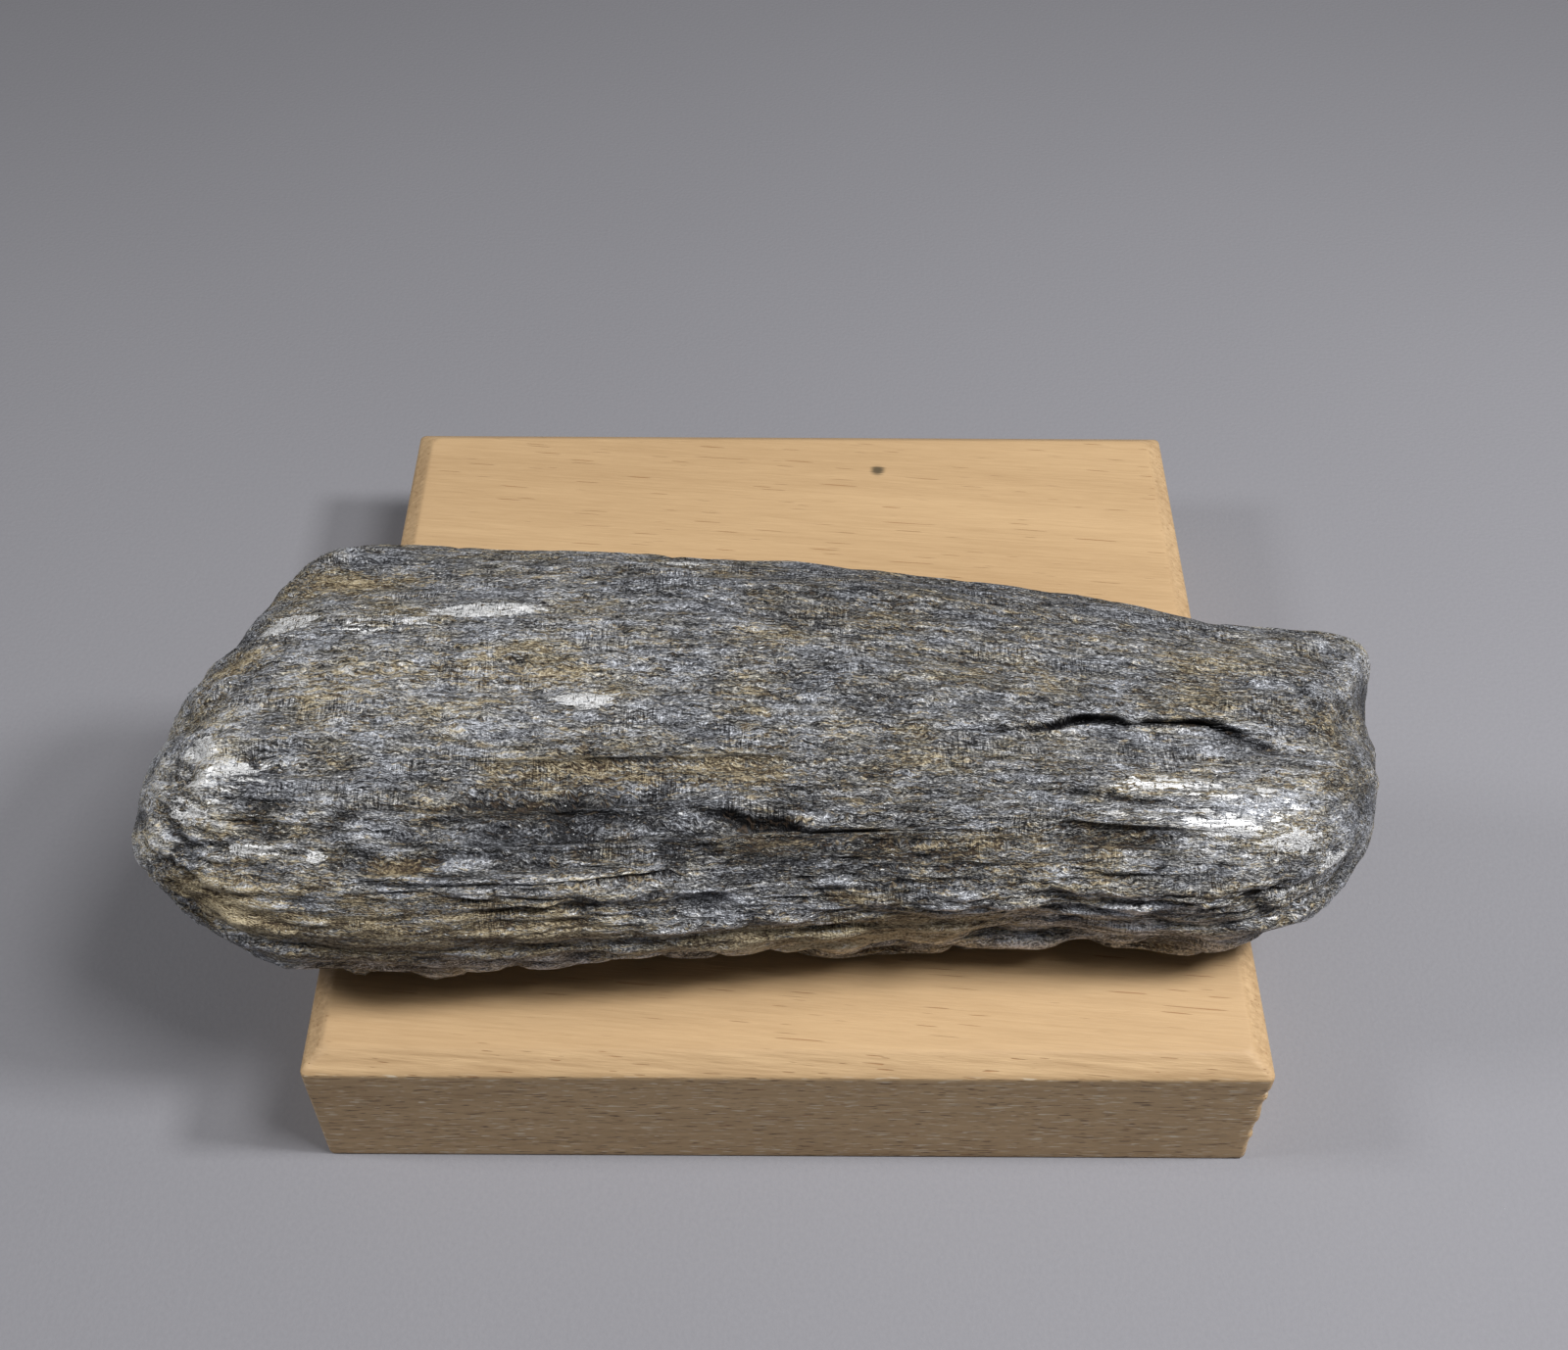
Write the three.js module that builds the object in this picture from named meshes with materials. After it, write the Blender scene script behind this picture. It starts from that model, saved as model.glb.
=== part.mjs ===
// A hand specimen of bladed stibnite lying on a bevelled hardwood block.
// Millimetres, +Z up. The origin is the centre of the block's underside, X runs along the
// stone and the front edge of the block, and Y points to the back.
import * as THREE from "three";
import { mergeVertices } from "three/addons/utils/BufferGeometryUtils.js";

// ---- driving dimensions ----------------------------------------------------------------

const BLOCK = {
  width: 100,
  depth: 97,
  thickness: 19,
  bevel: 1.9, // how far the planed edge runs in over the top face
  bevelDrop: 1.7, // how far it runs down the sides
};

const CONTACT_GAP = 0.3; // the stone lies on the block with this much between the solids
const REST = BLOCK.thickness + CONTACT_GAP; // the height of the stone's lowest points

const STONE = {
  leftTip: -64,
  rightTip: 62,
  capLeft: 15, // length of the rounded end at the left tip
  capRight: 9,
  capPower: 2.5, // 2 is a round end, higher is blunter
  topPower: 2.3, // 2 is an elliptical section, higher is squarer
  bottomPower: 3, // the underside is flatter than the top
  lean: 0.35, // how far the crest stands behind the middle, as a share of the half depth
};

// The stone's section at even steps from the left tip to the right tip.
// front and back are the section's limits in Y. belly is how far its lowest point stands
// clear of the block, and crown is the height of its crest above the table. skew is how far
// X runs ahead for each millimetre towards the back, which slants the broken ends.
const STATIONS = [
  { front: -36, back: 0, belly: 3.5, crown: 44, skew: 0.4 },
  { front: -42, back: 5, belly: 1.5, crown: 46, skew: 0.1 },
  { front: -42.5, back: 4, belly: 0.4, crown: 47.5, skew: 0.2 },
  { front: -41, back: 2.5, belly: 0, crown: 48, skew: 0.05 },
  { front: -40, back: 1.5, belly: 0, crown: 48, skew: 0.05 },
  { front: -39, back: -0.5, belly: 0, crown: 47.5, skew: 0 },
  { front: -38, back: -3, belly: 0.3, crown: 46.5, skew: 0.2 },
  { front: -39, back: -6, belly: 1.5, crown: 45, skew: 0.3 },
  { front: -33, back: -5, belly: 3.5, crown: 43.5, skew: 0.1 },
];

// Broad swells and hollows of the top and front: x and y are the middle of each one, long
// and wide its reach along and across the stone, and rise how far it stands out or in.
const RELIEF = [
  { x: -57, y: -27, long: 12, wide: 7, rise: 1.2 }, // the pillow at the left end
  { x: -30, y: -32, long: 13, wide: 3.5, rise: -1.4 }, // the trough behind the front shoulder
  { x: 1, y: -35, long: 9, wide: 2.5, rise: -1.2 }, // the undercut ledge
  { x: 35, y: -25, long: 18, wide: 2, rise: -1.3 }, // the long open crack
  { x: 42, y: -17, long: 18, wide: 5, rise: 0.9 }, // the lens behind the crack
  { x: 60, y: -20, long: 5, wide: 3.5, rise: -3 }, // the notch in the right end
  { x: 46, y: -35, long: 14, wide: 5, rise: 0.9 }, // the rounded right shoulder
  { x: -20, y: -38, long: 16, wide: 4, rise: 0.8 }, // the lip along the front
];

// Low ribs along the grain: how many go round the section, how high they stand, how much
// they wander from end to end, and where the first one starts.
const RIBS = [
  { around: 11, height: 0.35, wander: 1.3, start: 0.4 },
  { around: 17, height: 0.22, wander: -1.9, start: 2.1 },
];

const RINGS = 56;
const SIDES = 44;

// ---- small helpers ---------------------------------------------------------------------

// A smooth curve through one named value of every station, read at a share of the length.
function along(name) {
  const points = STATIONS.map((s) => new THREE.Vector3(s[name], 0, 0));
  const curve = new THREE.CatmullRomCurve3(points, false, "catmullrom", 0.5);
  return (share) => curve.getPoint(THREE.MathUtils.clamp(share, 0, 1)).x;
}

const at = Object.fromEntries(
  Object.keys(STATIONS[0]).map((name) => [name, along(name)]),
);

const signedPower = (value, power) => Math.sign(value) * Math.abs(value) ** power;

const bell = (distance, reach) => Math.exp(-((distance / reach) ** 2));

// ---- the stone -------------------------------------------------------------------------

// Walks the stone's length profile: v runs 0 to 1 from tip to tip. Gives the share of the
// length and how open the section is there, 0 at a tip and 1 along the body.
function lengthProfile(v) {
  const length = STONE.rightTip - STONE.leftTip;
  const capShare = 0.2; // this share of the rings goes to each rounded end
  const rounded = (w, cap) => {
    const angle = (w * Math.PI) / 2;
    const inset = cap * (1 - Math.cos(angle) ** (2 / STONE.capPower));
    return [inset / length, Math.sin(angle) ** (2 / STONE.capPower)];
  };
  if (v < capShare) return rounded(v / capShare, STONE.capLeft);
  if (v > 1 - capShare) {
    const [inset, open] = rounded((1 - v) / capShare, STONE.capRight);
    return [1 - inset, open];
  }
  const first = STONE.capLeft / length;
  const last = 1 - STONE.capRight / length;
  return [THREE.MathUtils.mapLinear(v, capShare, 1 - capShare, first, last), 1];
}

// How far the ribs and the broad relief push the skin outwards at a point. Both fade out on
// the underside, so that the stone still rests on its belly.
function relief(x, y, angle, share) {
  const upper = THREE.MathUtils.smoothstep(Math.sin(angle), -0.9, -0.1);
  const ribs = RIBS.map(
    ({ around, height, wander, start }) =>
      height * Math.sin(around * angle + start + wander * 2 * Math.PI * share),
  );
  const swells = RELIEF.map(
    (r) => r.rise * bell(x - r.x, r.long) * bell(y - r.y, r.wide),
  );
  return upper * [...ribs, ...swells].reduce((sum, value) => sum + value, 0);
}

// The point of the stone's skin at ring position v and angle u around the section.
function stoneSkin(u, v) {
  const [share, open] = lengthProfile(v);
  const angle = 2 * Math.PI * u;
  const halfDepth = (at.back(share) - at.front(share)) / 2;
  const middleY = (at.front(share) + at.back(share)) / 2;
  const belly = REST + at.belly(share);
  const halfHeight = (at.crown(share) - belly) / 2;
  const top = Math.sin(angle) > 0;
  const power = top ? STONE.topPower : STONE.bottomPower;
  const across = signedPower(Math.cos(angle), 2 / power);
  const up = signedPower(Math.sin(angle), 2 / power);
  const leaning = top ? STONE.lean * up * (1 - across ** 2) : 0;
  const y = middleY + open * (across + leaning) * halfDepth;
  const z = belly + halfHeight * (1 + open * up);
  const x = THREE.MathUtils.lerp(STONE.leftTip, STONE.rightTip, share);
  const slanted = x + at.skew(share) * (y - middleY);
  const push = open * relief(slanted, y, angle, share);
  return new THREE.Vector3(slanted, y + push * Math.cos(angle), z + push * Math.sin(angle));
}

function stoneGeometry() {
  const sphere = new THREE.SphereGeometry(1, SIDES, RINGS);
  const place = sphere.attributes.position;
  const uv = sphere.attributes.uv;
  for (let i = 0; i < place.count; i++) {
    const p = stoneSkin(-uv.getX(i), 1 - uv.getY(i));
    place.setXYZ(i, p.x, p.y, p.z);
  }
  sphere.deleteAttribute("uv");
  sphere.deleteAttribute("normal");
  const closed = mergeVertices(sphere, 1e-3);
  closed.computeVertexNormals();
  return closed;
}

// ---- the block -------------------------------------------------------------------------

// A box in two layers: the upper layer's top edge is drawn in to make the planed bevel.
function blockGeometry() {
  const { width, depth, thickness, bevel, bevelDrop } = BLOCK;
  const box = new THREE.BoxGeometry(width, depth, thickness, 1, 1, 2);
  const place = box.attributes.position;
  for (let i = 0; i < place.count; i++) {
    const level = place.getZ(i);
    const inset = level > 0 ? bevel : 0;
    const z = level === 0 ? thickness - bevelDrop : level + thickness / 2;
    const x = place.getX(i);
    const y = place.getY(i);
    place.setXYZ(i, x - Math.sign(x) * inset, y - Math.sign(y) * inset, z);
  }
  box.computeVertexNormals();
  return box;
}

// ---- materials and assembly ------------------------------------------------------------

const stibnite = new THREE.MeshStandardMaterial({
  color: new THREE.Color(0.33, 0.33, 0.34),
  roughness: 0.5,
  metalness: 0.7,
});

const hardwood = new THREE.MeshStandardMaterial({
  color: new THREE.Color(0.74, 0.56, 0.36),
  roughness: 0.65,
  metalness: 0,
});

function named(name, geometry, material) {
  const mesh = new THREE.Mesh(geometry, material);
  mesh.name = name;
  return mesh;
}

const specimen = new THREE.Group();
specimen.add(named("wood_block", blockGeometry(), hardwood));
specimen.add(named("stibnite_mass", stoneGeometry(), stibnite));

export default specimen;
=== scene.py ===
import itertools
import math

import bpy
import numpy as np
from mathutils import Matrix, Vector


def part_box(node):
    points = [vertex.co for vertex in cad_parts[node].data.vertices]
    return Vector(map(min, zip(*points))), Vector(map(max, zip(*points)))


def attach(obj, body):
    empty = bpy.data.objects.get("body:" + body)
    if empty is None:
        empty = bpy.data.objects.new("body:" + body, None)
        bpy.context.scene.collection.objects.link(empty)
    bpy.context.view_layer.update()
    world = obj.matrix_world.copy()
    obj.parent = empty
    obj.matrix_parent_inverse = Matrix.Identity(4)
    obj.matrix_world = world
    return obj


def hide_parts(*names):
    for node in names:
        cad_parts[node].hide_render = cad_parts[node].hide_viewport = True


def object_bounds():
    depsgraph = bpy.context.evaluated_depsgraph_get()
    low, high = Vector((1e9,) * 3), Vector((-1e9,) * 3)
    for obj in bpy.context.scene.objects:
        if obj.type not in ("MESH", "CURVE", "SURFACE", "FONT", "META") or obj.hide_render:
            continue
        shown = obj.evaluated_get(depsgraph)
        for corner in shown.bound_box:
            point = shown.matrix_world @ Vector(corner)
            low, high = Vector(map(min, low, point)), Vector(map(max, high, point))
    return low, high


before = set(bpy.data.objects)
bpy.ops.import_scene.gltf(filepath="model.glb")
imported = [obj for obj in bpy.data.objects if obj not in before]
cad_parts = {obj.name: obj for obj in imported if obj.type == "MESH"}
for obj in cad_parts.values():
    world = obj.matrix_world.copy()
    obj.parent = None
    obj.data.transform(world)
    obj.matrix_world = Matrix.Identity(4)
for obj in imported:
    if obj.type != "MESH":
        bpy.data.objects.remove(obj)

cad_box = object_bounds()


# ---- the table ---------------------------------------------------------------------------
# The specimen stands on a sheet of matte grey card that runs far past it on every side.
# The card is one flat sheet with a faint tooth, level with the underside of the block.

MM = 0.001
TABLE_REACH = 3.0  # metres from the middle to each edge
TOOTH_DEPTH = 0.06 * MM
CARD_DARK = (0.26, 0.257, 0.28)
CARD_PALE = (0.322, 0.319, 0.343)
OBJECT_PLACE = 3  # the output of a Texture Coordinate node that gives Object coordinates
NOISE_COLOUR = 1  # the output of a noise node that gives three noises as one colour
MIXED_COLOUR = 2  # the output of a Mix node that gives a colour


class Signal:
    """A socket in a finish that takes part in sums. Each operator adds one Math node."""

    def __init__(self, finish, socket):
        self.finish = finish
        self.socket = socket

    def maths(self, operation, *values):
        """One Math node on numbers or signals."""
        return self.finish.node("ShaderNodeMath", {"operation": operation}, dict(enumerate(values)))

    def __add__(self, other):
        return self.maths("ADD", self, other)

    def __sub__(self, other):
        return self.maths("SUBTRACT", self, other)

    def __rsub__(self, other):
        return self.maths("SUBTRACT", other, self)

    def __mul__(self, other):
        return self.maths("MULTIPLY", self, other)

    __radd__ = __add__
    __rmul__ = __mul__

    def absolute(self):
        return self.maths("ABSOLUTE", self)

    def maximum(self, other):
        return self.maths("MAXIMUM", self, other)

    def step(self, low, high):
        """0 below low, 1 above high, and an eased rise between them."""
        settings = {"interpolation_type": "SMOOTHSTEP"}
        return self.finish.node("ShaderNodeMapRange", settings, {"Value": self, 1: low, 2: high})

    def siblings(self):
        """One signal for each output of the node that this signal comes from."""
        return [Signal(self.finish, socket) for socket in self.socket.node.outputs]


class Finish:
    """A material with one Principled shader, and the nodes that drive it."""

    def __init__(self, name, constants):
        self.material = bpy.data.materials.new(name)
        self.material.use_nodes = True
        self.tree = self.material.node_tree
        self.shader = self.tree.nodes["Principled BSDF"]
        for socket, value in constants.items():
            self.shader.inputs[socket].default_value = value

    def node(self, kind, settings=None, inputs=None, output=0):
        """Adds a node: its settings first, then a value or a signal for each socket named."""
        node = self.tree.nodes.new(kind)
        for name, value in (settings or {}).items():
            if name == "stops":
                self.set_stops(node.color_ramp, value)
            else:
                setattr(node, name, value)
        for socket, value in (inputs or {}).items():
            if isinstance(value, Signal):
                self.tree.links.new(value.socket, node.inputs[socket])
            else:
                node.inputs[socket].default_value = value
        return Signal(self, node.outputs[output])

    def set_stops(self, ramp, stops):
        """Gives a colour ramp its stops, as (position, colour) pairs."""
        for _ in stops[2:]:
            ramp.elements.new(0.5)
        for element, (position, colour) in zip(ramp.elements, stops):
            element.position = position
            element.color = (*colour, 1)

    def ramp(self, value, stops):
        """A colour read off a row of stops by a value from 0 to 1."""
        return self.node("ShaderNodeValToRGB", {"stops": stops}, {"Fac": value})

    def vector(self, operation, first, second, output=0):
        """One Vector Math node on two vectors."""
        return self.node("ShaderNodeVectorMath", {"operation": operation}, {0: first, 1: second}, output)

    def noise(self, vector, factors, detail=2.0, roughness=0.5, output=0):
        """Smooth noise that has factors waves to the unit along each axis."""
        inputs = {
            "Vector": self.vector("MULTIPLY", vector, factors),
            "Scale": 1.0,
            "Detail": detail,
            "Roughness": roughness,
        }
        return self.node("ShaderNodeTexNoise", None, inputs, output)

    def three_noises(self, vector, factors, detail, roughness=0.6):
        """Three noises of one kind that have nothing to do with each other."""
        colour = self.noise(vector, factors, detail, roughness, NOISE_COLOUR)
        return self.node("ShaderNodeSeparateColor", None, {0: colour}).siblings()

    def mix(self, factor, first, second):
        """The first colour where the factor is 0 and the second where it is 1."""
        first = (*first, 1) if isinstance(first, tuple) else first
        second = (*second, 1) if isinstance(second, tuple) else second
        inputs = {"Factor": factor, 6: first, 7: second}
        return self.node("ShaderNodeMix", {"data_type": "RGBA"}, inputs, MIXED_COLOUR)

    def relief(self, height, distance):
        """Lets a height times the distance, in metres, tilt the shader's normal."""
        return self.node("ShaderNodeBump", None, {"Height": height, "Distance": distance})

    def feed(self, **signals):
        """Links signals to the shader's sockets, an underscore standing for a space."""
        for name, signal in signals.items():
            self.tree.links.new(signal.socket, self.shader.inputs[name.replace("_", " ")])


card = Finish("grey_card", {"Roughness": 0.85, "Specular IOR Level": 0.25})
on_table = card.node("ShaderNodeTexCoord", output=OBJECT_PLACE)
tooth = card.noise(on_table, (1800, 1800, 1800), detail=3)
cloud = card.noise(on_table, (9, 9, 9))
card.feed(
    Base_Color=card.mix(cloud * 0.5 + tooth * 0.5, CARD_DARK, CARD_PALE),
    Normal=card.relief(tooth, TOOTH_DEPTH),
)
table_signs = ((-1, -1), (1, -1), (1, 1), (-1, 1))
table_corners = [(x * TABLE_REACH, y * TABLE_REACH, cad_box[0][2]) for x, y in table_signs]
table_mesh = bpy.data.meshes.new("table")
table_mesh.from_pydata(table_corners, [], [(0, 1, 2, 3)])
table_mesh.materials.append(card.material)
table = bpy.data.objects.new("table", table_mesh)
bpy.context.scene.collection.objects.link(table)


# ---- the block ---------------------------------------------------------------------------
# The stone lies on a square block of pale beech, sawn across at the ends and planed. A small
# bevel is planed round the top, and the saw has torn the right front edge a little.

block_low, block_high = (np.array(corner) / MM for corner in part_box("wood_block"))
block_middle = (block_low + block_high) / 2
block_half = (block_high - block_low) / 2
BEVEL = 2.2  # how far the planed edge runs in over the top, in millimetres
BEVEL_DROP = 1.7  # how far it runs down the sides
BEVEL_WANDER = 0.12  # how far the plane strayed
CORNER = 0.7  # radius of the upright corners at the foot
CORNER_GROWTH = 0.5  # how much wider they are at the top
FOOT = 0.3  # radius round the underside
ROW_STEP = 0.4  # height of each row of the sides
EDGE_POINTS = 91
CORNER_POINTS = 9
TEAR = 0.3  # depth of the saw's tears


def grid_mesh(name, points, finish):
    """A mesh through rows of points. Each row closes on itself, and the first and the last
    rows are drawn together into one point each, so the skin has no open edge."""
    rows, around = points.shape[:2]
    vertices = per_vertex(points)
    row = np.arange(rows - 3)[:, None] * around
    near = np.arange(around)[None]
    far = (near + 1) % around
    quads = np.stack([row + near, row + far, row + around + far, row + around + near], -1)
    first_pole = (rows - 2) * around
    last_pole = first_pole + 1
    last_row = (rows - 3) * around
    start = np.stack([near[0], np.full(around, first_pole), far[0]], -1)
    end = np.stack([last_row + near[0], last_row + far[0], np.full(around, last_pole)], -1)
    corners = np.concatenate([quads.ravel(), start.ravel(), end.ravel()])
    sizes = np.concatenate([np.full((rows - 3) * around, 4), np.full(2 * around, 3)])
    starts = np.concatenate([[0], np.cumsum(sizes)[:-1]])
    mesh = bpy.data.meshes.new(name)
    mesh.vertices.add(len(vertices))
    mesh.vertices.foreach_set("co", vertices.astype(np.float32).ravel())
    mesh.loops.add(len(corners))
    mesh.loops.foreach_set("vertex_index", corners.astype(np.int32))
    mesh.polygons.add(len(sizes))
    mesh.polygons.foreach_set("loop_start", starts.astype(np.int32))
    mesh.update(calc_edges=True)
    mesh.polygons.foreach_set("use_smooth", np.ones(len(sizes), bool))
    mesh.materials.append(finish.material)
    piece = bpy.data.objects.new(name, mesh)
    bpy.context.scene.collection.objects.link(piece)
    return piece


def per_vertex(values):
    """One value or vector for each vertex of a grid mesh, in the order of its vertices: the
    rows between the two poles, then the poles."""
    between = values[1:-1].reshape(-1, *values.shape[2:])
    return np.concatenate([between, values[0, :1], values[-1, :1]])


def scatter(cell, seed):
    """Four numbers from 0 to 1 for each whole-number cell: its counts are multiplied by large
    odd numbers and its bits folded over, so the same cell always gives the same four."""
    odd = np.array([0x9E3779B1, 0x85EBCA77, 0xC2B2AE3D], np.int64)
    key = ((cell.astype(np.int64) * odd).sum(-1) + seed * 0x27D4EB2F).astype(np.uint32)
    numbers = []
    for _ in range(4):
        key = (key ^ (key >> 15)) * np.uint32(0x2C1B3C6D)
        key = (key ^ (key >> 12)) * np.uint32(0x297A2D39)
        key = key ^ (key >> 15)
        numbers.append(key / 2**32)
    return np.stack(numbers, -1)


def waves(p, size, seed):
    """Smooth noise from -1 to 1: random values at the corners of a grid of the given size,
    blended inside each cell by an eased share of the way across."""
    q = p / np.array(size, float)
    home = np.floor(q)
    share = q - home
    ease = share * share * (3 - 2 * share)
    total = 0
    for corner in itertools.product((0, 1), repeat=3):
        corner = np.array(corner)
        weight = np.prod(np.where(corner, ease, 1 - ease), -1)
        total = total + weight * scatter(home + corner, seed)[..., 0]
    return 2 * total - 1


def bell(distance, reach):
    """A bell curve: 1 at no distance, and about a third at its reach."""
    return np.exp(-((distance / reach) ** 2))


def block_profile():
    """Rows from the middle of the underside out to the edge, up the side, over the bevel and
    in to the middle of the top: how far each row stands in from the side, and its height."""
    top = block_high[2]
    eave = top - BEVEL_DROP
    brow_end = BEVEL + 0.35
    width = block_half[1]
    under = [(width * (1 - share), 0) for share in np.linspace(0.02, 0.985, 14)]
    foot = [(FOOT * (1 - np.sin(a)), FOOT * (1 - np.cos(a))) for a in np.linspace(0.1, np.pi / 2, 4)]
    side = [(0, z) for z in np.arange(0.8, eave - 0.3, ROW_STEP)]
    knee = [(0.02, eave - 0.12), (0.1, eave + 0.06)]
    slope = [(BEVEL * share, top - BEVEL_DROP * (1 - share)) for share in (0.25, 0.45, 0.65, 0.85)]
    brow = [(BEVEL - 0.06, top - 0.1), (BEVEL + 0.12, top - 0.02), (brow_end, top)]
    over = [(brow_end + (width - brow_end) * share, top) for share in np.linspace(0.02, 0.98, 24)]
    return np.array(under + foot + side + knee + slope + brow + over)


def square_rim():
    """Once round a square of half width 1: four straight edges, each followed by a quarter
    circle. Gives the place on the square, and how far the circle draws it in, in radii."""
    run = np.linspace(-1, 1, EDGE_POINTS)[1:-1]
    arc = np.linspace(0, np.pi / 2, CORNER_POINTS)
    x = np.ones(len(run) + len(arc))
    y = np.concatenate([run, np.ones_like(arc)])
    in_x = np.concatenate([0 * run, np.cos(arc) - 1])
    in_y = np.concatenate([0 * run, np.sin(arc) - 1])
    quarter_turns = ((1, 0), (0, 1), (-1, 0), (0, -1))
    place = [np.stack([cos * x - sin * y, sin * x + cos * y], -1) for cos, sin in quarter_turns]
    drawn = [np.stack([cos * in_x - sin * in_y, sin * in_x + cos * in_y], -1) for cos, sin in quarter_turns]
    return np.concatenate(place), np.concatenate(drawn)


def block_skin():
    """Each row is a rounded square, drawn in evenly by the row's inset. Smooth noise lowers
    the planed bevel here and there, and cuts tears into the right front corner."""
    inset, height = block_profile().T
    place, drawn = square_rim()
    half = (block_half[:2] - inset[:, None])[:, None]
    radius = CORNER + CORNER_GROWTH * np.clip(inset, 0, BEVEL) / BEVEL
    radius = np.minimum(radius[:, None, None], 0.9 * half.min(-1, keepdims=True))
    flat = place * np.where(np.abs(place) < 1, half - radius, half) + drawn * radius
    points = np.dstack([flat, np.broadcast_to(height[:, None], flat.shape[:2])])
    points = points + [block_middle[0], block_middle[1], block_low[2]]
    on_slope = np.clip(1 - np.abs(inset - BEVEL / 2) / (0.7 * BEVEL), 0, 1)
    on_slope = (on_slope * (height > block_high[2] - BEVEL_DROP - 0.2))[:, None]
    points[..., 2] -= BEVEL_WANDER * np.abs(waves(points, (14, 14, 4), 71)) * on_slope
    from_corner = np.hypot(points[..., 0] - block_high[0], points[..., 1] - block_low[1])
    torn = TEAR * np.clip(waves(points, (9, 9, 0.7), 72) + 0.3, 0, 1) * bell(from_corner, 0.9)
    torn = torn * np.clip(points[..., 2] - 1, 0, 1) * np.clip(15.5 - points[..., 2], 0, 1)
    points[..., 0] -= torn
    points[..., 1] += 0.6 * torn
    return points


BEECH_DARK = (0.47, 0.303, 0.156)
BEECH_PALE = (0.665, 0.456, 0.25)
PORE_BROWN = (0.36, 0.16, 0.06)
SAWN_PALE = (0.9, 0.8, 0.62)
SAWN_DARK = (0.1, 0.055, 0.025)
# The olive below is mixed into the sawn sides: partly their own tint, partly painted shade.
SIDE_SHADE_OLIVE = (0.25, 0.19, 0.06)
KNOT_BROWN = (0.13, 0.095, 0.055)
KNOT_PLACE = (11.6 * MM, 40.2 * MM, 0)
FIBRE_DEPTH = 0.06 * MM
GRAIN_TURN = math.radians(5)

hardwood = Finish("hardwood", {"Roughness": 0.5, "Specular IOR Level": 0.35})
on_block = hardwood.node("ShaderNodeTexCoord", output=OBJECT_PLACE)
wood_grain = hardwood.node(
    "ShaderNodeVectorRotate", {"rotation_type": "Z_AXIS"}, {"Vector": on_block, "Angle": GRAIN_TURN},
)

# Each noise has so many waves to the metre along the grain, and across it.
figure = hardwood.noise(wood_grain, (14, 130, 130), roughness=0.6)
fibre = hardwood.noise(wood_grain, (150, 3400, 3400), detail=3, roughness=0.8)
stripe = hardwood.noise(wood_grain, (22, 1500, 1500), roughness=0.7)
fleck = hardwood.noise(wood_grain, (230, 4600, 4600), detail=1)
pore = hardwood.noise(wood_grain, (120, 4000, 4000), detail=1)
patch = hardwood.noise(wood_grain, (40, 60, 60), detail=1)

# The sides are sawn and the top and its bevel are planed, so each has its own look.
height = hardwood.node("ShaderNodeSeparateXYZ", None, {0: on_block}).siblings()[2]
on_side = 1 - height.step(17.2 * MM, 17.5 * MM)
on_bevel = height.step(17.3 * MM, 17.6 * MM) - height.step(18.7 * MM, 18.95 * MM)
wood_tone = (figure - 0.5) * 1.1 + (fibre - 0.5)
wood_tone = wood_tone + (stripe - 0.5) * (on_bevel * 2.0 + on_side * 1.4 + 0.3) + on_bevel * 0.05 + 0.5
wood_colour = hardwood.mix(wood_tone, BEECH_DARK, BEECH_PALE)

# Open pores are short brown dashes. The sawn sides are flecked pale and dark.
dash = (pore + patch * 0.06).step(0.727, 0.767)
wood_colour = hardwood.mix(dash * 0.7, wood_colour, PORE_BROWN)
wood_colour = hardwood.mix(fleck.step(0.63, 0.7) * on_side * 0.8, wood_colour, SAWN_PALE)
wood_colour = hardwood.mix((1 - fleck.step(0.29, 0.37)) * on_side * 0.8, wood_colour, SAWN_DARK)

# One small dark knot lies near the back of the top.
from_knot = hardwood.vector("DISTANCE", hardwood.vector("MULTIPLY", on_block, (1, 1, 0)), KNOT_PLACE, 1)
from_knot = from_knot + (fibre - 0.5) * (1.5 * MM)
wood_colour = hardwood.mix(1 - from_knot.step(0.4 * MM, 1.3 * MM), wood_colour, KNOT_BROWN)
# The sawn sides are mixed a little towards olive and so made darker: partly their own tint, partly painted
# shade on the sides, which face away from the lamps.
hardwood.feed(
    Base_Color=hardwood.mix(on_side * 0.06, wood_colour, SIDE_SHADE_OLIVE),
    Roughness=0.55 + (fibre - 0.5) * 0.4,
    Normal=hardwood.relief(fibre - dash * 0.6, FIBRE_DEPTH),
)
block = grid_mesh("beech_block", block_skin() * MM, hardwood)
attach(block, "root")
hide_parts("wood_block")


# ---- the stibnite ------------------------------------------------------------------------
# One broken billet of massive stibnite: blades of antimony sulphide grown side by side along
# its length. Cleavage has split its faces into long stepped laths, blue-grey and tarnished,
# with ochre oxide in the seams. Where the cleavage is fresh, white flashes are painted into
# the colour as painted highlights.

stone_low, stone_high = (np.array(corner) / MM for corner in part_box("stibnite_mass"))
stone_middle = (stone_low + stone_high) / 2
stone_half = (stone_high - stone_low) / 2
ROWS = 170
AROUND = 580
BLUNT = 2 / 5.0  # the power that squares off the two ends
SOFT = 2 / 2.6  # the power that squares off the section
FACING = (-0.6, 0.8)  # the way that the top and the front look, as a share of Y and Z
HIDDEN_WORTH = 0.5  # how much of the usual number of points the underside and the back get
READ_WIDTH = 0.045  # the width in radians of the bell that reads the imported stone


def even_steps(curve, count, worth=1.0):
    """Places along a curve at even distances: adds up the lengths of its short chords, each
    times its worth, and reads off where each equal share of the whole is reached."""
    chords = np.linalg.norm(np.diff(curve, axis=0), axis=1) * worth
    run = np.concatenate([[0], np.cumsum(chords)])
    return np.interp(np.linspace(0, run[-1], count), run, np.arange(len(curve)) / (len(curve) - 1))


def rounded(angle, power):
    """A circle squared off: its cosine and sine, each raised to a power with its sign kept."""
    cos, sin = np.cos(angle), np.sin(angle)
    return np.stack([np.sign(cos) * np.abs(cos) ** power, np.sign(sin) * np.abs(sin) ** power], -1)


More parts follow.
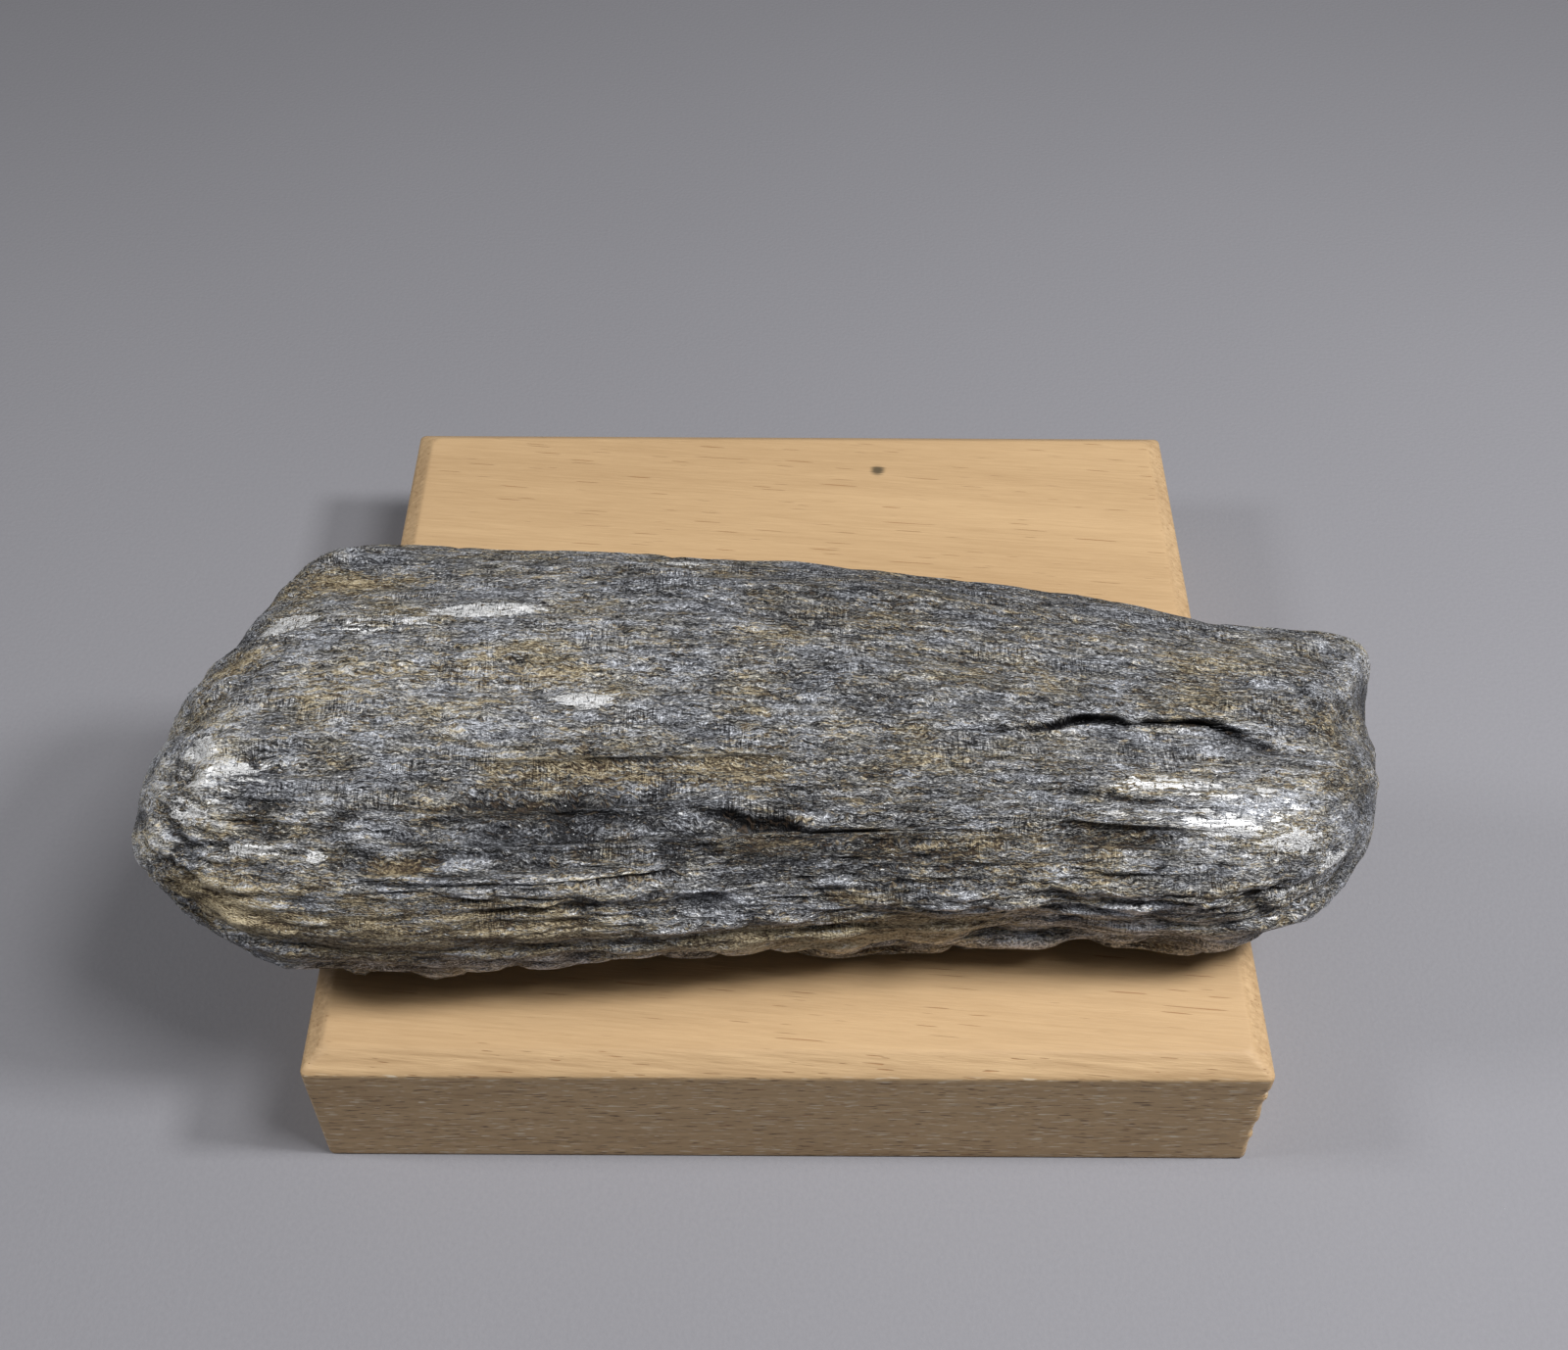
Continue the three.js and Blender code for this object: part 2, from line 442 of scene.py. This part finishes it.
def stone_directions():
    """Unit directions out of the stone's middle, in rows from tip to tip. They point at a
    rounded box: a blunt profile from tip to tip carried round a squarish section. The top
    and the front get twice as many as the underside and the back."""
    fine = np.linspace(0, 1, 2001)
    thickness = (stone_half[1] + stone_half[2]) / 2
    row = even_steps(rounded(np.pi * (fine - 0.5), BLUNT) * [thickness, stone_half[0]], ROWS)
    section = rounded(2 * np.pi * fine, SOFT)
    worth = np.where(section[:-1] @ FACING > -0.1, 1.0, HIDDEN_WORTH)
    side = even_steps(section * stone_half[1:], AROUND + 1, worth)[:-1]
    wide, along = rounded(np.pi * (row - 0.5), BLUNT).T[..., None]
    across, up = rounded(2 * np.pi * side, SOFT).T[:, None]
    grid = np.stack([along + 0 * across, wide * across, wide * up], -1)
    return grid / np.linalg.norm(grid, axis=-1, keepdims=True)


def stone_base(directions):
    """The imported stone's skin, read smoothly: in each direction its reach from the middle is the
    mean of its corners' reaches, weighted by a bell curve of how far off each corner lies."""
    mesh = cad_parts["stibnite_mass"].data
    corners = np.empty(len(mesh.vertices) * 3)
    mesh.vertices.foreach_get("co", corners)
    corners = np.unique(np.round(corners.reshape(-1, 3) / MM, 3), axis=0)
    away = (corners - stone_middle) / stone_half
    reach = np.linalg.norm(away, axis=1)
    toward = (away / reach[:, None]).T.astype(np.float32)

    def row_reach(row):
        weight = np.exp((row.astype(np.float32) @ toward - 1) / READ_WIDTH**2)
        return weight @ reach / weight.sum(1)

    reaches = np.array([row_reach(row) for row in directions])
    return stone_middle + directions * reaches[..., None] * stone_half


def outward(points):
    """Unit normals of a skin of rows: the cross product of its two neighbour differences. The
    two poles look straight out along the stone."""
    around = np.roll(points, -1, 1) - np.roll(points, 1, 1)
    along = np.gradient(points, axis=0)
    normal = np.cross(around, along)
    normal[0] = (-1, 0, 0)
    normal[-1] = (1, 0, 0)
    return normal / np.maximum(np.linalg.norm(normal, axis=-1, keepdims=True), 1e-9)


FAN = 0.09  # how far the blades at the back slant, in millimetres to the millimetre
WANDER = {"size": (46, 15, 15), "sideways": 1.7, "upwards": 1.2}


def grain_of(p):
    """Coordinates that follow the grain. Blades run level along the front and fan out by a
    few degrees towards the back, and they wander gently from side to side."""
    fan = FAN * (p[..., 0] - stone_middle[0])
    share = np.clip((p[..., 1] - stone_low[1]) / (2 * stone_half[1]), 0, 1)
    return p + np.stack([
        0 * share,
        fan * share + WANDER["sideways"] * waves(p, WANDER["size"], 11),
        WANDER["upwards"] * waves(p, WANDER["size"], 12),
    ], -1)


def on_stone(shares):
    """A place in millimetres from its shares of the stone's box, from its left front lower
    corner."""
    return stone_low + np.array(shares) * (stone_high - stone_low)


# The lower front hangs close over the block and ends in a ragged hem. Each zone starts below
# a height, in front of a line and inside both ends, and fades in over a few millimetres.
HANG = {"top": 33, "top_run": 8, "front": -25, "front_run": 6, "half_length": 50, "end_run": 8}
HEM = {"top": 32, "top_run": 6, "front": -26, "front_run": 5, "half_length": 56, "end_run": 10}
SINK = 6.0  # how far the hanging part sinks, in millimetres
SINK_WAY = np.array([0.0, 0.656, -0.755])
CLEARANCE = 0.02  # the least height of the stone over the block


def low_front(p, top, top_run, front, front_run, half_length, end_run):
    """1 low on the front of the stone and 0 elsewhere: three straight ramps multiplied."""
    lower = np.clip((top - p[..., 2]) / top_run, 0, 1)
    nearer = np.clip((front - p[..., 1]) / front_run, 0, 1)
    inside = np.clip((half_length - np.abs(p[..., 0])) / end_run, 0, 1)
    return lower * nearer * inside


# Broad swells along the grain: their usual length, breadth and height, and how far they rise.
SWELLS = (
    {"size": (55, 11, 10), "rise": 0.7, "seed": 31},
    {"size": (24, 4.5, 4.5), "rise": 0.4, "seed": 32},
)
# Terraces: long flat steps where cleavage has come away, of each size.
TERRACES = (
    {"size": (26, 4.6, 4.6), "rise": 0.26, "seed": 21},
    {"size": (10, 2.0, 1.9), "rise": 0.2, "seed": 22},
    {"size": (4.2, 0.95, 0.9), "rise": 0.14, "seed": 23},
    {"size": (1.9, 0.5, 0.48), "rise": 0.07, "seed": 24},
)
# Seams: narrow gaps between bundles of blades, which wander along the grain.
SEAMS = (
    {"size": (18, 3.0, 3.0), "depth": 0.6, "width": 0.12, "seed": 51},
    {"size": (8, 1.5, 1.5), "depth": 0.4, "width": 0.17, "seed": 52},
    {"size": (3.5, 0.8, 0.8), "depth": 0.18, "width": 0.25, "seed": 53},
)
# Single blades: each one is tilted a little its own way.
BLADES = (
    {"size": (8, 1.9, 1.7), "tilt": 0.2, "seed": 61},
    {"size": (3.0, 0.75, 0.7), "tilt": 0.12, "seed": 62},
)
# Tatters of the hem: large ones, and smaller ones with steep sides.
TATTERS = {"size": (13, 5, 5), "seed": 81}
SHREDS = {"size": (5, 2.2, 2.2), "rise": 0.6, "seed": 82}


def swollen(grain, layer):
    """Smooth noise times its rise."""
    return layer["rise"] * waves(grain, layer["size"], layer["seed"])


def terrace(grain, layer, steepness=5):
    """Smooth noise pushed towards its two extremes by a hyperbolic tangent, so that it makes
    level ground with short steep steps between."""
    return layer["rise"] * np.tanh(steepness * waves(grain, layer["size"], layer["seed"]))


def gap(grain, layer):
    """A narrow groove wherever smooth noise crosses zero, shallower and deeper by turns."""
    line = bell(waves(grain, layer["size"], layer["seed"]), layer["width"])
    turns = 0.5 + 0.5 * waves(grain, 0.8 * np.array(layer["size"]), layer["seed"] + 100)
    return layer["depth"] * line * turns


def blades(p, size, seed):
    """Splits space into long blades. Every cell of a grid holds one seed point, and a place
    belongs to the nearest, measured in cells. Gives the owner's four random numbers, the way
    to it in cells, and how far the place stands inside the blade's border."""
    q = p / np.array(size, float)
    home = np.floor(q)
    nearest = np.full(q.shape[:-1], 9.0)
    second = nearest.copy()
    luck = np.zeros(q.shape[:-1] + (4,))
    way = np.zeros(q.shape)
    for step in itertools.product((-1, 0, 1), repeat=3):
        cell = home + np.array(step)
        numbers = scatter(cell, seed)
        offset = q - cell - numbers[..., :3]
        distance = np.linalg.norm(offset, axis=-1)
        closer = distance < nearest
        second = np.where(closer, nearest, np.minimum(second, distance))
        nearest = np.where(closer, distance, nearest)
        luck[closer] = numbers[closer]
        way[closer] = offset[closer]
    return luck, way, second - nearest


def tilted(grain, layer):
    """Each blade's own plane: the way from its middle times a random slope on each axis,
    level again at its border. Also the blade's own tone."""
    luck, way, border = blades(grain, layer["size"], layer["seed"])
    lean = ((2 * luck[..., :3] - 1) * way).sum(-1)
    return layer["tilt"] * lean * np.clip(border / 0.15, 0, 1), luck[..., 3]


# Splits that run along the grain. A path's points are shares of the stone's box, and each one
# has a depth in millimetres. The near side of a split is lower by drop, and comes back to
# level over its run. painted_shade is how black the open split is painted: painted shade in
# the groove.
SPLITS = (
    {"path": ((0.62, 0.355, 0.9), (0.70, 0.37, 0.88), (0.725, 0.385, 0.88), (0.75, 0.4, 0.88),
              (0.785, 0.395, 0.875), (0.813, 0.4, 0.875), (0.845, 0.4, 0.865), (0.88, 0.37, 0.83),
              (0.98, 0.40, 0.68)),
     "depths": (0.0, 0.9, 1.8, 1.2, 0.6, 1.2, 1.6, 0.6, 0.0),
     "width": 0.32, "drop": 0.6, "run": 2.6, "painted_shade": 1.0},
    {"path": ((0.69, 0.24, 0.837), (0.75, 0.23, 0.824), (0.8, 0.22, 0.82), (0.87, 0.19, 0.785)),
     "depths": (0.0, 0.5, 0.6, 0.0),
     "width": 0.3, "drop": 0.3, "run": 2.0, "painted_shade": 0.5},
    {"path": ((0.42, 0.2, 0.84), (0.46, 0.183, 0.82), (0.49, 0.175, 0.8), (0.52, 0.17, 0.793),
              (0.555, 0.162, 0.783), (0.62, 0.148, 0.777)),
     "depths": (0.0, 0.4, 1.2, 1.3, 0.6, 0.0),
     "width": 0.4, "drop": 0.8, "run": 2.5, "painted_shade": 0.75},
    {"path": ((0.24, 0.19, 0.83), (0.316, 0.215, 0.835), (0.346, 0.213, 0.839), (0.39, 0.223, 0.85),
              (0.46, 0.24, 0.86)),
     "depths": (0.0, 0.6, 0.8, 0.4, 0.0),
     "width": 0.6, "drop": 0.9, "run": 3.0, "painted_shade": 0.25},
)


def split(p, crack):
    """How far a split cuts into the skin: a bell-shaped groove along its path, which smooth
    noise bends and deepens, and a step on its near side that fades out like a bell. Also how
    much painted shade darkens the open groove, 0 to 1."""
    path = on_stone(crack["path"])
    y = np.interp(p[..., 0], path[:, 0], path[:, 1])
    z = np.interp(p[..., 0], path[:, 0], path[:, 2])
    y = y + 0.5 * waves(p, (3.5, 30, 30), 41) + 0.45 * waves(p, (1.9, 30, 30), 42)
    depth = np.interp(p[..., 0], path[:, 0], crack["depths"], left=0, right=0)
    depth = depth * (1 + 0.6 * waves(p, (2.2, 30, 30), 43))
    inside = np.clip(depth / 0.9, 0, 1)
    away = np.hypot(p[..., 1] - y, p[..., 2] - z)
    near = (p[..., 1] - y + p[..., 2] - z) < 0
    step = crack["drop"] * inside * np.where(near, bell(away, crack["run"]), 0)
    shade = crack["painted_shade"] * inside * bell(away, 0.9 * crack["width"])
    return np.stack([depth * bell(away, crack["width"]) + step, shade])


# Rounded dents, and knobs where the depth is below 0: the notch and the knobs of the right
# end, the shape of the left end, and the troughs and the low bulges of the front. Each has a
# middle in shares of the stone's box, and a reach and a depth in millimetres.
DENTS = (
    {"at": (1.0, 0.55, 0.62), "reach": (5.0, 3.2, 5.0), "depth": 2.2},
    {"at": (0.99, 0.36, 0.64), "reach": (2.5, 0.9, 2.0), "depth": -0.7},
    {"at": (0.985, 0.2, 0.5), "reach": (4.0, 3.5, 4.0), "depth": -0.6},
    {"at": (0.85, 0.84, 0.87), "reach": (7.0, 4.0, 4.0), "depth": -1.1},
    {"at": (0.86, 0.13, 0.12), "reach": (6.0, 7.0, 6.0), "depth": -1.3},
    {"at": (0.95, 0.57, 0.86), "reach": (1.3, 0.8, 1.2), "depth": 0.5},
    {"at": (0.14, 0.88, 0.86), "reach": (6.0, 5.0, 5.0), "depth": -1.2},
    {"at": (0.02, 0.55, 0.7), "reach": (5.0, 6.0, 6.0), "depth": -1.2},
    {"at": (0.07, 0.3, 0.85), "reach": (4.0, 6.0, 4.0), "depth": -0.7},
    {"at": (0.775, 0.145, 0.725), "reach": (5.5, 1.6, 1.6), "depth": 0.8},
    {"at": (0.34, 0.13, 0.76), "reach": (12.0, 4.5, 4.0), "depth": 1.6},
    {"at": (0.5, 0.12, 0.72), "reach": (12.0, 3.5, 3.5), "depth": 1.2},
    {"at": (1.0, 0.74, 0.78), "reach": (5.0, 4.5, 6.0), "depth": -1.1},
    {"at": (0.06, 0.08, 0.35), "reach": (6.0, 5.0, 5.0), "depth": 1.1},
    {"at": (0.96, 0.12, 0.3), "reach": (5.0, 5.0, 5.0), "depth": -1.0},
    {"at": (0.58, 0.16, 0.1), "reach": (15.0, 7.0, 6.0), "depth": -2.3},
    {"at": (0.19, 0.16, 0.1), "reach": (9.0, 7.0, 6.0), "depth": -1.9},
)


def dent(p, hollow):
    """How far a hollow cuts in: its depth times a bell curve of the distance, by axis."""
    away = (p - on_stone(hollow["at"])) / np.array(hollow["reach"])
    return hollow["depth"] * np.exp(-(away**2).sum(-1))


# Where the front and the left end are splintered rather than smooth. Here and in the lists
# of patches below, each entry is the middle in shares of the stone's box, the reach along and
# across the stone in millimetres, and the strength.
SMOOTH = 0.5  # how high the fine relief stands on the smooth top, as a share
SPLINTERED = 1.1  # how much is added where a patch has strength 1
MOST_STRENGTH = 1.3
TIP_RUN = 5  # the fine relief fades over this many millimetres towards each tip
TIP_SHARE = 0.55
ROUGH = (
    ((0.3, 0.1, 0.7), 20, 5.0, 0.9), ((0.55, 0.08, 0.66), 20, 5.0, 0.9),
    ((0.8, 0.06, 0.55), 20, 4.0, 0.9), ((0.05, 0.2, 0.65), 9, 9.0, 1.0),
    ((0.1, 0.15, 0.72), 10, 5.0, 0.7),
)


def soft_patches(p, listed):
    """Each patch's strength times a bell curve of the distance along the stone and a bell
    curve of the distance across it."""
    found = []
    for shares, long, wide, strength in listed:
        away = p - on_stone(shares)
        found.append(strength * bell(away[..., 0], long) * bell(np.hypot(away[..., 1], away[..., 2]), wide))
    return found


def blurred(values, reach):
    """A grid's values averaged over a square of rows and columns, which wrap round."""
    for axis in (0, 1):
        shifted = [np.roll(values, shift, axis) for shift in range(-reach, reach + 1)]
        values = sum(shifted) / len(shifted)
    return values


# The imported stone's skin, with its lower front let down.
base = stone_base(stone_directions())
base = base + SINK * low_front(base, **HANG)[..., None] * SINK_WAY
grain = grain_of(base)

# What stands out of it and what is cut into it. Splinters are lower towards the two tips.
fine, blade_tones = zip(*(tilted(grain, layer) for layer in BLADES))
fine = sum(terrace(grain, layer) for layer in TERRACES) + sum(fine)
fine = fine - sum(gap(grain, layer) for layer in SEAMS)
from_tip = stone_half[0] - np.abs(base[..., 0] - stone_middle[0])
splintered = SMOOTH + SPLINTERED * np.clip(sum(soft_patches(base, ROUGH)), 0, MOST_STRENGTH)
splintered = splintered * np.clip(from_tip / TIP_RUN, TIP_SHARE, 1)
tatters = waves(grain, TATTERS["size"], TATTERS["seed"]) + terrace(grain, SHREDS, steepness=4)
# The splits also give the painted shade of their open grooves.
cut, gloom = sum(split(base, crack) for crack in SPLITS)
cut = cut + sum(dent(base, hollow) for hollow in DENTS)
lift = sum(swollen(grain, layer) for layer in SWELLS) + splintered * fine
lift = lift + low_front(base, **HEM) * tatters - cut
skin = base + outward(base) * lift[..., None]
skin[..., 2] = np.maximum(skin[..., 2], block_high[2] + CLEARANCE)

# Where ochre oxide covers the stone, where fresh cleavage is painted white as a highlight,
# and the broad darker and lighter zones: painted shade in the hollows and a painted sheen on
# the shoulders.
OCHRE = (
    ((0.1, 0.06, 0.55), 13, 3.4, 1.2), ((0.24, 0.05, 0.5), 16, 4.5, 1.0),
    ((0.33, 0.02, 0.52), 8, 3.0, 0.6), ((0.5, 0.1, 0.36), 18, 3.6, 1.1),
    ((0.23, 0.07, 0.74), 4, 1.4, 0.8), ((0.07, 0.56, 0.83), 8, 3.0, 0.55),
    ((0.15, 0.76, 0.9), 7, 1.5, 0.6), ((0.56, 0.06, 0.58), 2, 1.0, 0.9),
    ((0.66, 0.11, 0.66), 9, 3.0, 0.35), ((0.25, 0.47, 0.94), 14, 4.0, 0.3),
    ((0.42, 0.25, 0.86), 14, 2.0, 0.4), ((0.58, 0.1, 0.39), 12, 3.0, 0.9),
)
# Where fresh cleavage is painted white, as painted highlights.
HIGHLIGHT_PATCHES = (
    ((0.08, 0.25, 0.8), 8, 4.0, 0.4), ((0.86, 0.2, 0.78), 9, 4.0, 0.42),
    ((0.2, 0.62, 0.95), 14, 3.0, 0.38), ((0.06, 0.33, 0.82), 2.0, 1.7, 1.2),
    ((0.09, 0.27, 0.84), 2.4, 1.1, 1.1), ((0.11, 0.65, 0.88), 4, 1.3, 1.4),
    ((0.27, 0.64, 0.98), 6.5, 1.1, 1.2), ((0.36, 0.41, 0.95), 3.5, 1.2, 1.0),
    ((0.82, 0.25, 0.83), 6, 1.6, 0.6), ((0.85, 0.17, 0.78), 4.0, 1.2, 1.1),
    ((0.9, 0.17, 0.7), 4.0, 1.3, 1.1), ((0.94, 0.16, 0.6), 3, 1.3, 1.0),
    ((0.16, 0.1, 0.74), 1.0, 0.6, 1.0), ((0.11, 0.12, 0.73), 6, 0.7, 0.8),
    ((0.05, 0.2, 0.74), 6, 1.2, 0.8), ((0.78, 0.25, 0.83), 3, 1.0, 0.6),
    ((0.43, 0.8, 0.94), 4, 0.8, 0.5),
)
# Broad zones lightened and darkened in the colour: painted sheen on the shoulders and the rims that face the
# lamps, and painted shade in the troughs and hollows.
PAINTED_SHEEN_AND_SHADE = (
    ((0.15, 0.5, 0.88), 14, 8.0, 0.16), ((0.35, 0.5, 0.95), 14, 8.0, 0.12),
    ((0.22, 0.05, 0.45), 14, 5.0, -0.06), ((0.1, 0.05, 0.55), 9, 3.5, 0.28),
    ((0.33, 0.17, 0.79), 11, 3.5, -0.42), ((0.27, 0.33, 0.88), 9, 5.0, 0.12),
    ((0.5, 0.13, 0.74), 11, 3.0, -0.35), ((0.62, 0.1, 0.68), 8, 3.0, -0.2),
    ((0.35, 0.05, 0.35), 20, 5.0, 0.05), ((0.75, 0.8, 0.93), 28, 7.0, -0.16),
    ((0.55, 0.1, 0.3), 18, 4.0, 0.3), ((0.27, 0.1, 0.45), 8, 4.0, -0.12),
    ((0.55, 0.7, 0.95), 20, 5.0, -0.08), ((0.85, 0.08, 0.5), 10, 4.0, -0.02),
    ((0.78, 0.1, 0.3), 12, 5.0, 0.12), ((0.02, 0.35, 0.72), 5, 9.0, 0.2),
    ((0.75, 0.15, 0.73), 5, 1.5, -0.35), ((0.86, 0.2, 0.78), 11, 4.0, 0.26),
    ((0.07, 0.3, 0.82), 6, 4.0, 0.12),
)

# What the finish reads at each vertex: the grain's coordinates, how deep the place lies
# among its neighbours (for painted shade in the hollows), its blade's tone, the patches above,
# and the painted shade of the open splits.
stone_values = {
    "grain": grain,
    # Deeper than its neighbours darkens the colour as painted shade; higher lightens it.
    "hollow": np.clip(0.5 - (lift - blurred(lift, 4)) / 0.6, 0, 1),
    "ochre": np.max(soft_patches(base, OCHRE), axis=0),
    "fresh": np.max(soft_patches(base, HIGHLIGHT_PATCHES), axis=0),
    "tone": sum(blade_tones) / len(blade_tones),
    "sheen": sum(soft_patches(base, PAINTED_SHEEN_AND_SHADE)),
    "gloom": np.clip(gloom, 0, 1),
}

# Tarnished stibnite from the blackest seam to the brightest cleavage, the tints that it takes
# from blue-grey to straw, and the oxide from umber to pale ochre.
TARNISH = [
    (0.0, (0.012, 0.012, 0.014)), (0.3, (0.07, 0.07, 0.074)), (0.55, (0.2, 0.2, 0.205)),
    (0.8, (0.4, 0.4, 0.41)), (1.0, (0.75, 0.75, 0.76)),
]
TINTS = [(0.25, (0.97, 1.0, 1.06)), (0.5, (1.02, 1.0, 0.95)), (0.8, (1.09, 1.0, 0.77))]
OXIDE = [
    (0.1, (0.05, 0.028, 0.012)), (0.45, (0.19, 0.138, 0.07)), (0.7, (0.37, 0.288, 0.16)),
    (1.0, (0.58, 0.48, 0.3)),
]
# The white of the painted highlights.
HIGHLIGHT_WHITE = (1.0, 1.0, 1.0)
GRIT_DEPTH = 0.17 * MM
VECTOR_VALUE = 1  # the output of an Attribute node that gives a vector
NUMBER_VALUE = 2  # the one that gives a number

stibnite = Finish("stibnite", {"Specular IOR Level": 0.5, "Coat Roughness": 0.28, "Coat IOR": 2.2})


def stone_value(name, output=NUMBER_VALUE):
    """A value that each vertex of the stone carries."""
    return stibnite.node("ShaderNodeAttribute", {"attribute_name": name}, output=output)


# The grain's coordinates, made to wander a little, so that no line runs dead straight. The
# noises have so many waves to the millimetre along the blades, and across them, and go from
# broad zones down to grit.
grain_lines = stone_value("grain", VECTOR_VALUE)
wiggle = stibnite.noise(grain_lines, (0.7, 0.9, 0.9), detail=1, output=NOISE_COLOUR)
wiggle = stibnite.vector("SUBTRACT", wiggle, (0.5, 0.5, 0.5))
threads = stibnite.vector("ADD", grain_lines, stibnite.vector("MULTIPLY", wiggle, (0, 0.7, 0.7)))
zone = stibnite.three_noises(grain_lines, (0.09, 0.22, 0.22), detail=2)
band = stibnite.three_noises(threads, (0.16, 1.3, 1.3), detail=2)
lath = stibnite.three_noises(threads, (0.45, 3.2, 3.2), detail=1.5)
fine_lath = stibnite.three_noises(threads, (0.9, 6, 6), detail=1)
grit = stibnite.three_noises(threads, (2.8, 7, 7), detail=1.5, roughness=0.7)
hatch = stibnite.noise(threads, (6.5, 0.9, 0.9), detail=1)
ochre = stone_value("ochre")
fresh = stone_value("fresh")

# Tone: grit and laths, fine lines across the grain where a zone is crossed by them, dark
# seams along it, painted shade in the hollows and painted light on the rises, the tone of
# each blade, the painted sheen and shade of the broad zones, and painted shade in the open splits.
crossed = zone[0].step(0.55, 0.62)
long_seam = (1 - (band[2] - 0.5).absolute().step(0.012, 0.045)) * lath[1].step(0.4, 0.5)
short_seam = (1 - (lath[2] - 0.5).absolute().step(0.02, 0.075)) * band[1].step(0.42, 0.52)
dark_lath = 1 - lath[2].step(0.37, 0.43)
tone = (grit[0] - 0.5) * 1.8 + (lath[0].step(0.46, 0.54) - 0.5) * 0.08 + (fine_lath[0] - 0.5) * 0.45
tone = tone - dark_lath * 0.18 - long_seam * 0.32 - short_seam * 0.3
tone = tone + (hatch - 0.5) * (crossed * 1.1 + 0.2)
# Painted shade in the hollows and painted light on the rises, and each blade's own tone.
tone = tone + (0.5 - stone_value("hollow")) * 0.5 + (stone_value("tone") - 0.5) * 0.15
# Painted sheen and shade by zones, and painted shade in the open splits.
tone = tone + stone_value("sheen") - stone_value("gloom") * 0.9 + 0.655
straw = (lath[1] - 0.5) * 0.7 + (band[1] - 0.5) * 0.9 + (zone[1] - 0.5) * 1.2 + ochre * 0.4 + 0.45
stone_colour = stibnite.vector("MULTIPLY", stibnite.ramp(straw, TINTS), stibnite.ramp(tone, TARNISH))

# Oxide lies in flakes along the grain, and nearly covers the stone in the ochre patches.
flake = fine_lath[1] * 0.5 + lath[1] * 0.6 + (grit[1] - 0.5) * 0.35 + (zone[1] - 0.5) * 0.5
flake = (flake + ochre * 0.3).step(0.61, 0.7)
stone_colour = stibnite.mix(flake * (ochre * 0.2 + 0.7), stone_colour, stibnite.ramp(tone, OXIDE))

# Painted highlights: flashes of fresh cleavage are painted white, broken into small panes by
# lines along and across the grain. Painted glints are single white grains anywhere.
painted_flash = (fresh + (band[0] - 0.5) * 1.2 + (lath[0] - 0.5) * 1.1).step(0.45, 0.51)
painted_flash = painted_flash * (hatch + (grit[2] - 0.5) * 0.6).step(0.33, 0.4)
painted_flash = painted_flash * (fine_lath[0] + (grit[1] - 0.5) * 0.4).step(0.34, 0.4)
for line in (hatch, lath[2]):
    painted_flash = painted_flash * ((line - 0.5).absolute().step(0.006, 0.02) * 0.8 + 0.2)
painted_glint = (grit[2] * 0.6 + fine_lath[0] * 0.4 + fresh * 0.1).step(0.67, 0.7)
painted_flash = painted_flash.maximum(painted_glint)
# The base colour turns white under the painted highlights and glints.
stibnite.feed(
    Base_Color=stibnite.mix(painted_flash, stone_colour, HIGHLIGHT_WHITE),
    Metallic=(1 - flake) * (1 - painted_flash) * 0.4,
    Coat_Weight=painted_flash,
    Roughness=0.48 + flake * 0.25 - painted_flash * 0.2 - (grit[2] - 0.5) * 0.5,
    Normal=stibnite.relief(tone, GRIT_DEPTH),
)

stone = grid_mesh("stibnite_stone", skin * MM, stibnite)
for name, values in stone_values.items():
    flat = per_vertex(values).astype(np.float32)
    kind, field = ("FLOAT_VECTOR", "vector") if flat.ndim == 2 else ("FLOAT", "value")
    stone.data.attributes.new(name, kind, "POINT").data.foreach_set(field, flat.ravel())
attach(stone, "root")
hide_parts("stibnite_mass")


# ---- the light and the camera ------------------------------------------------------------
# Three soft square lamps light the table: one high to the right, a small one low at the right,
# and a weaker one low at the left. They are near and small, so the stone's shadow is crisp.

ROOM_COLOUR = (0.95, 0.97, 1.0, 1)
ROOM_STRENGTH = 0.07
LAMP_AIM = (0, -0.02, stone_middle[2] * MM)
# Each lamp's place and width in metres, and its power in watts.
LAMPS = {
    "overhead": ((0.2, -0.11, 0.5), 0.14, 1.3),
    "right_lamp": ((0.26, -0.06, 0.33), 0.06, 1.02),
    "left_lamp": ((-0.28, -0.05, 0.31), 0.08, 0.5),
}
LENS = 43.6
SENSOR = 36
# The camera stands this far left of the block's middle, in front of it and above it, in
# metres, and looks this many degrees down, rolled and turned by a fraction of a degree.
CAMERA_LEFT = 0.0004
CAMERA_FRONT = 0.0955
CAMERA_ABOVE = 0.1723
CAMERA_DOWN = 49.24
CAMERA_ROLL = -0.15
CAMERA_TURN = 0.25

for name, (place, width, watts) in LAMPS.items():
    lamp = bpy.data.lights.new(name, "AREA")
    lamp.shape = "SQUARE"
    lamp.size = width
    lamp.energy = watts
    holder = bpy.data.objects.new(name, lamp)
    holder.location = place
    holder.rotation_euler = (Vector(LAMP_AIM) - Vector(place)).to_track_quat("-Z", "Y").to_euler()
    bpy.context.scene.collection.objects.link(holder)

room = bpy.data.worlds.new("room")
room.use_nodes = True
background = room.node_tree.nodes["Background"]
background.inputs["Color"].default_value = ROOM_COLOUR
background.inputs["Strength"].default_value = ROOM_STRENGTH
bpy.context.scene.world = room
bpy.context.scene.view_settings.view_transform = "Standard"

camera_data = bpy.data.cameras.new("camera")
camera_data.lens = LENS
camera_data.sensor_width = SENSOR
camera_data.clip_start = 0.01
camera = bpy.data.objects.new("camera", camera_data)
camera.location = (
    block_middle[0] * MM - CAMERA_LEFT,
    block_low[1] * MM - CAMERA_FRONT,
    block_high[2] * MM + CAMERA_ABOVE,
)
camera.rotation_euler = (math.radians(90 - CAMERA_DOWN), math.radians(CAMERA_ROLL), math.radians(CAMERA_TURN))
bpy.context.scene.collection.objects.link(camera)
bpy.context.scene.camera = camera
